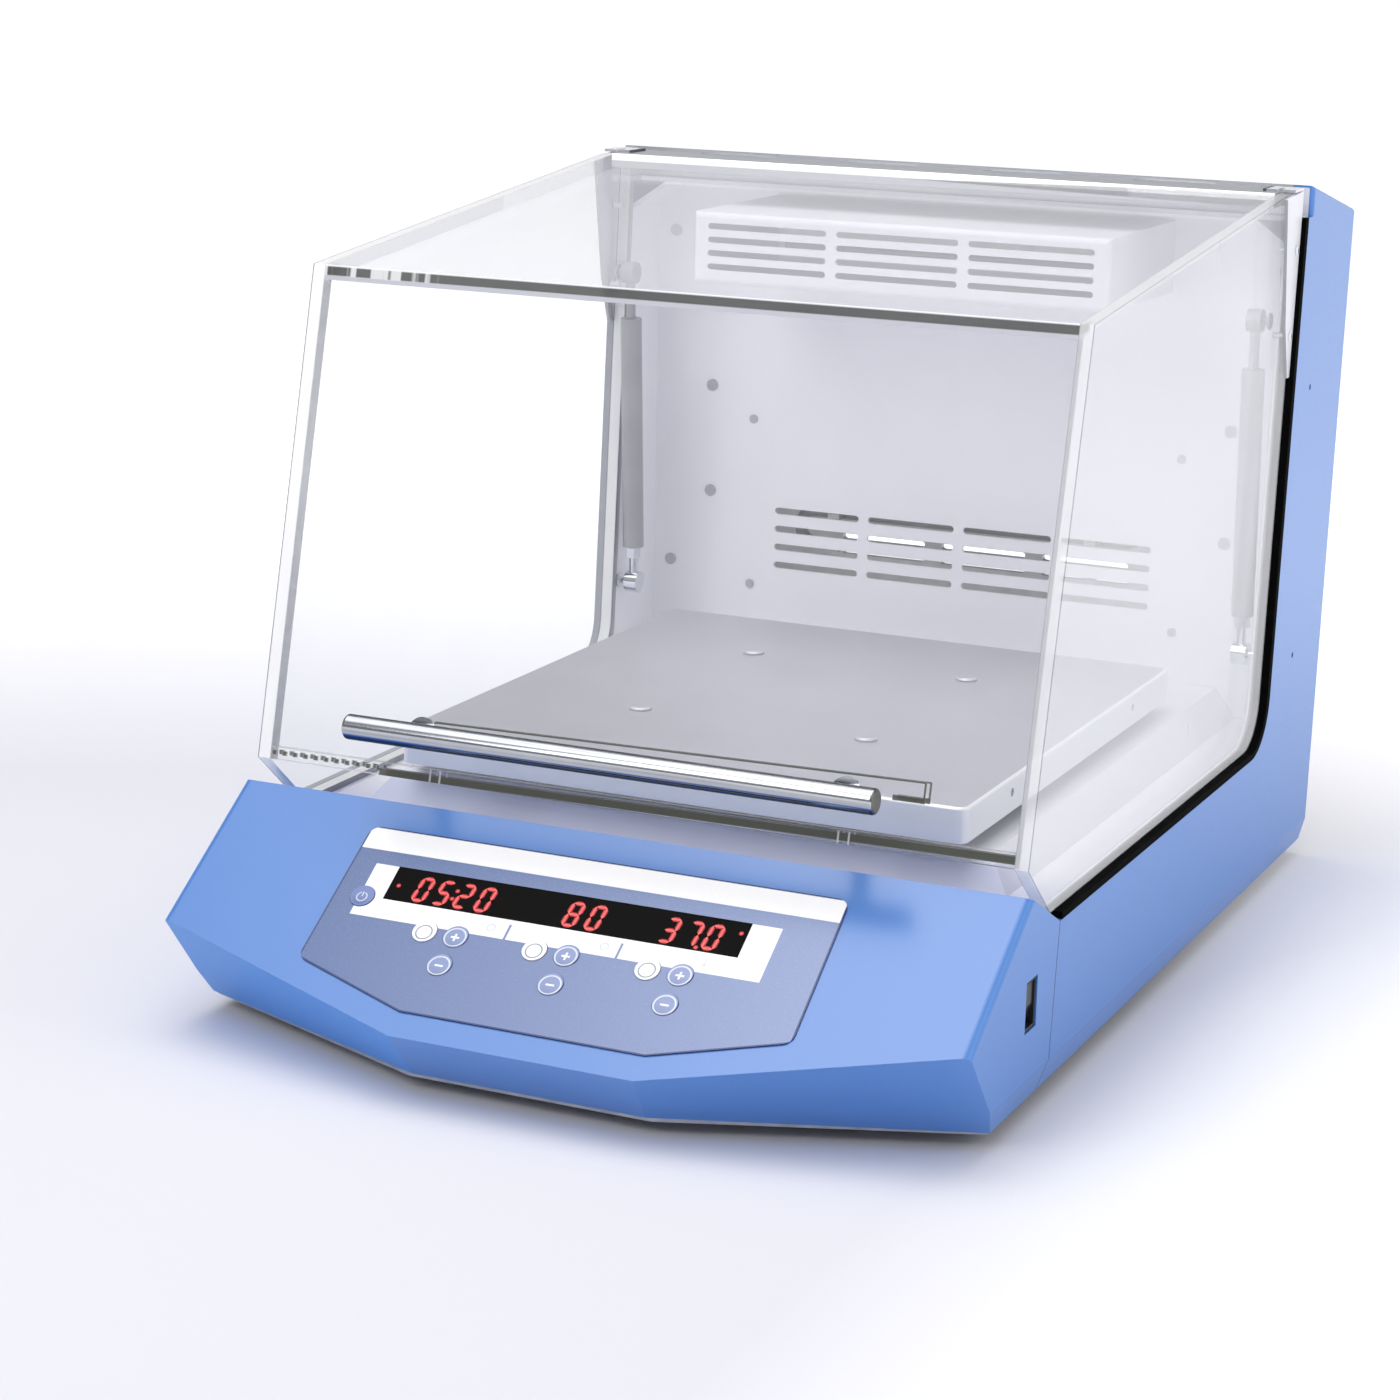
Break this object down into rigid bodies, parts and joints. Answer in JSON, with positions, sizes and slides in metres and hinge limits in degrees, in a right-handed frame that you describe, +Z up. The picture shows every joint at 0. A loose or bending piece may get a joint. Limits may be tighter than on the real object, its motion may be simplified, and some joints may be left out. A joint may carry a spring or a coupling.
{
  "type": "incubated benchtop shaker",
  "caption": "Benchtop shaker with a blue housing, sloped key panel, heated chamber, orbiting tray and a clear hood on gas struts.",
  "frame": {"origin": "centre of the footprint, on the bench surface under the feet", "axes": "+X to the right seen from the front, -Y to the front, +Z up"},
  "size_m": [0.465, 0.6961, 0.4424],
  "materials": {
    "blue_paint": "satin blue powder coat",
    "steel_sheet": "bare steel sheet",
    "white_liner": "smooth white coat",
    "clear_acrylic": "clear polished acrylic",
    "tray_coat": "fine matt light grey coat",
    "polished_steel": "polished",
    "machined_steel": "turned",
    "aluminium": "clear anodised",
    "strut_grey": "satin dark grey",
    "black_rubber": "matt",
    "black_plastic": "fine matt",
    "display_window": "glossy, lit red digits",
    "overlay_film": "printed film",
    "key_blue": "printed film",
    "key_white": "printed film",
    "key_film": "printed film",
    "board_green": "lacquered board",
    "copper": "drawn tube"
  },
  "bodies": {
    "housing": {"base_pan": "steel_sheet", "feet": "black_rubber", "rear_body_shell": "blue_paint", "rear_cover": "steel_sheet", "front_console_shell": "blue_paint", "chamber_floor": "white_liner", "rear_liner": "white_liner", "air_duct_cover": "white_liner", "lid_seals": "black_rubber", "hinge_housing_leaf": "aluminium", "hinge_pin": "machined_steel", "strut_lower_studs": "polished_steel", "drive_plate": "machined_steel", "bearings": "machined_steel", "motor": "black_plastic", "drive_belt": "black_rubber", "circuit_boards": "board_green", "membrane_overlay": "overlay_film", "display_module": "display_window", "switch_housing": "black_plastic", "power_inlet": "black_plastic", "fan_motor": "machined_steel", "heater": "machined_steel", "temperature_sensor": "machined_steel", "cooling_coil": "copper", "cover_screws": "polished_steel"},
    "hood": {"hood_top": "clear_acrylic", "hood_front": "clear_acrylic", "hood_side_left": "clear_acrylic", "hood_side_right": "clear_acrylic", "hinge_strip": "aluminium", "hinge_arms": "white_liner", "hood_screws": "polished_steel", "handle_bar": "polished_steel", "handle_standoffs": "polished_steel"},
    "strut_rod_left_body": {"strut_rod_left": "polished_steel"},
    "strut_rod_right_body": {"strut_rod_right": "polished_steel"},
    "strut_tube_left_body": {"strut_cylinder_left": "strut_grey"},
    "strut_tube_right_body": {"strut_cylinder_right": "strut_grey"},
    "crank": {"drive_crank": "machined_steel", "drive_pulley": "aluminium", "counterweight": "machined_steel"},
    "tray_body": {"tray": "tray_coat", "tray_carrier": "aluminium", "tray_bolts": "tray_coat"},
    "idler_left": {"idler_crank_left": "machined_steel"},
    "idler_right": {"idler_crank_right": "machined_steel"},
    "motor_rotor": {"motor_pulley": "machined_steel"},
    "fan": {"fan_rotor": "black_plastic"},
    "rocker": {"rocker_switch": "black_plastic"},
    "key_standby_body": {"key_standby": "key_blue"},
    "key_timer_set_body": {"key_timer_set": "key_white"},
    "key_timer_plus_body": {"key_timer_plus": "key_film"},
    "key_timer_minus_body": {"key_timer_minus": "key_film"},
    "key_speed_set_body": {"key_speed_set": "key_white"},
    "key_speed_plus_body": {"key_speed_plus": "key_film"},
    "key_speed_minus_body": {"key_speed_minus": "key_film"},
    "key_heat_set_body": {"key_heat_set": "key_white"},
    "key_heat_plus_body": {"key_heat_plus": "key_film"},
    "key_heat_minus_body": {"key_heat_minus": "key_film"}
  },
  "joints": [
    {"name": "hood_lift", "type": "hinge", "parent": "housing", "child": "hood", "pos_m": [0, 0.238, 0.4363], "axis": [-1, 0, 0], "range_deg": [0, 60]},
    {"name": "strut_swing_left", "type": "hinge", "parent": "housing", "child": "strut_rod_left_body", "pos_m": [-0.21, 0.22412, 0.154], "axis": [1, 0, 0], "range_deg": [0, 10.02]},
    {"name": "strut_slide_left", "type": "slide", "parent": "strut_rod_left_body", "child": "strut_tube_left_body", "axis": [0, -0.0579, 0.9983], "range_m": [0, 0.06654]},
    {"name": "strut_swing_right", "type": "hinge", "parent": "housing", "child": "strut_rod_right_body", "pos_m": [0.21, 0.22412, 0.154], "axis": [1, 0, 0], "range_deg": [0, 10.02]},
    {"name": "strut_slide_right", "type": "slide", "parent": "strut_rod_right_body", "child": "strut_tube_right_body", "axis": [0, -0.0579, 0.9983], "range_m": [0, 0.06654]},
    {"name": "crank_spin", "type": "hinge", "parent": "housing", "child": "crank", "pos_m": [0, 0.0327, 0.066], "axis": [0, 0, 1], "continuous": true},
    {"name": "tray_turn", "type": "hinge", "parent": "crank", "child": "tray_body", "pos_m": [0, 0.0227, 0.137], "axis": [0, 0, 1], "continuous": true},
    {"name": "idler_spin_left", "type": "hinge", "parent": "housing", "child": "idler_left", "pos_m": [-0.105, 0.0327, 0.066], "axis": [0, 0, 1], "continuous": true},
    {"name": "idler_spin_right", "type": "hinge", "parent": "housing", "child": "idler_right", "pos_m": [0.105, 0.0327, 0.066], "axis": [0, 0, 1], "continuous": true},
    {"name": "motor_spin", "type": "hinge", "parent": "housing", "child": "motor_rotor", "pos_m": [-0.128, -0.0533, 0.066], "axis": [0, 0, 1], "continuous": true},
    {"name": "fan_spin", "type": "hinge", "parent": "housing", "child": "fan", "pos_m": [0, 0.308, 0.3025], "axis": [0, 1, 0], "continuous": true},
    {"name": "mains_rocker", "type": "hinge", "parent": "housing", "child": "rocker", "pos_m": [0.2267, -0.22, 0.0645], "axis": [0, 1, 0], "range_deg": [-16, 0]},
    {"name": "key_standby_press", "type": "slide", "parent": "housing", "child": "key_standby_body", "axis": [0, -0.5698, 0.8218], "range_m": [-0.0005, 0], "stiffness_N_per_m": 300},
    {"name": "key_timer_set_press", "type": "slide", "parent": "housing", "child": "key_timer_set_body", "axis": [0, -0.5698, 0.8218], "range_m": [-0.0005, 0], "stiffness_N_per_m": 300},
    {"name": "key_timer_plus_press", "type": "slide", "parent": "housing", "child": "key_timer_plus_body", "axis": [0, -0.5698, 0.8218], "range_m": [-0.0005, 0], "stiffness_N_per_m": 300},
    {"name": "key_timer_minus_press", "type": "slide", "parent": "housing", "child": "key_timer_minus_body", "axis": [0, -0.5698, 0.8218], "range_m": [-0.0005, 0], "stiffness_N_per_m": 300},
    {"name": "key_speed_set_press", "type": "slide", "parent": "housing", "child": "key_speed_set_body", "axis": [0, -0.5698, 0.8218], "range_m": [-0.0005, 0], "stiffness_N_per_m": 300},
    {"name": "key_speed_plus_press", "type": "slide", "parent": "housing", "child": "key_speed_plus_body", "axis": [0, -0.5698, 0.8218], "range_m": [-0.0005, 0], "stiffness_N_per_m": 300},
    {"name": "key_speed_minus_press", "type": "slide", "parent": "housing", "child": "key_speed_minus_body", "axis": [0, -0.5698, 0.8218], "range_m": [-0.0005, 0], "stiffness_N_per_m": 300},
    {"name": "key_heat_set_press", "type": "slide", "parent": "housing", "child": "key_heat_set_body", "axis": [0, -0.5698, 0.8218], "range_m": [-0.0005, 0], "stiffness_N_per_m": 300},
    {"name": "key_heat_plus_press", "type": "slide", "parent": "housing", "child": "key_heat_plus_body", "axis": [0, -0.5698, 0.8218], "range_m": [-0.0005, 0], "stiffness_N_per_m": 300},
    {"name": "key_heat_minus_press", "type": "slide", "parent": "housing", "child": "key_heat_minus_body", "axis": [0, -0.5698, 0.8218], "range_m": [-0.0005, 0], "stiffness_N_per_m": 300}
  ],
  "couplings": [
    {"joint": "strut_swing_left", "follows": "hood_lift", "ratio": 0.16371},
    {"joint": "strut_slide_left", "follows": "hood_lift", "m_per_rad": 0.06306},
    {"joint": "strut_swing_right", "follows": "hood_lift", "ratio": 0.16371},
    {"joint": "strut_slide_right", "follows": "hood_lift", "m_per_rad": 0.06306},
    {"joint": "tray_turn", "follows": "crank_spin", "ratio": -1},
    {"joint": "idler_spin_left", "follows": "crank_spin", "ratio": 1},
    {"joint": "idler_spin_right", "follows": "crank_spin", "ratio": 1},
    {"joint": "motor_spin", "follows": "crank_spin", "ratio": 4}
  ]
}
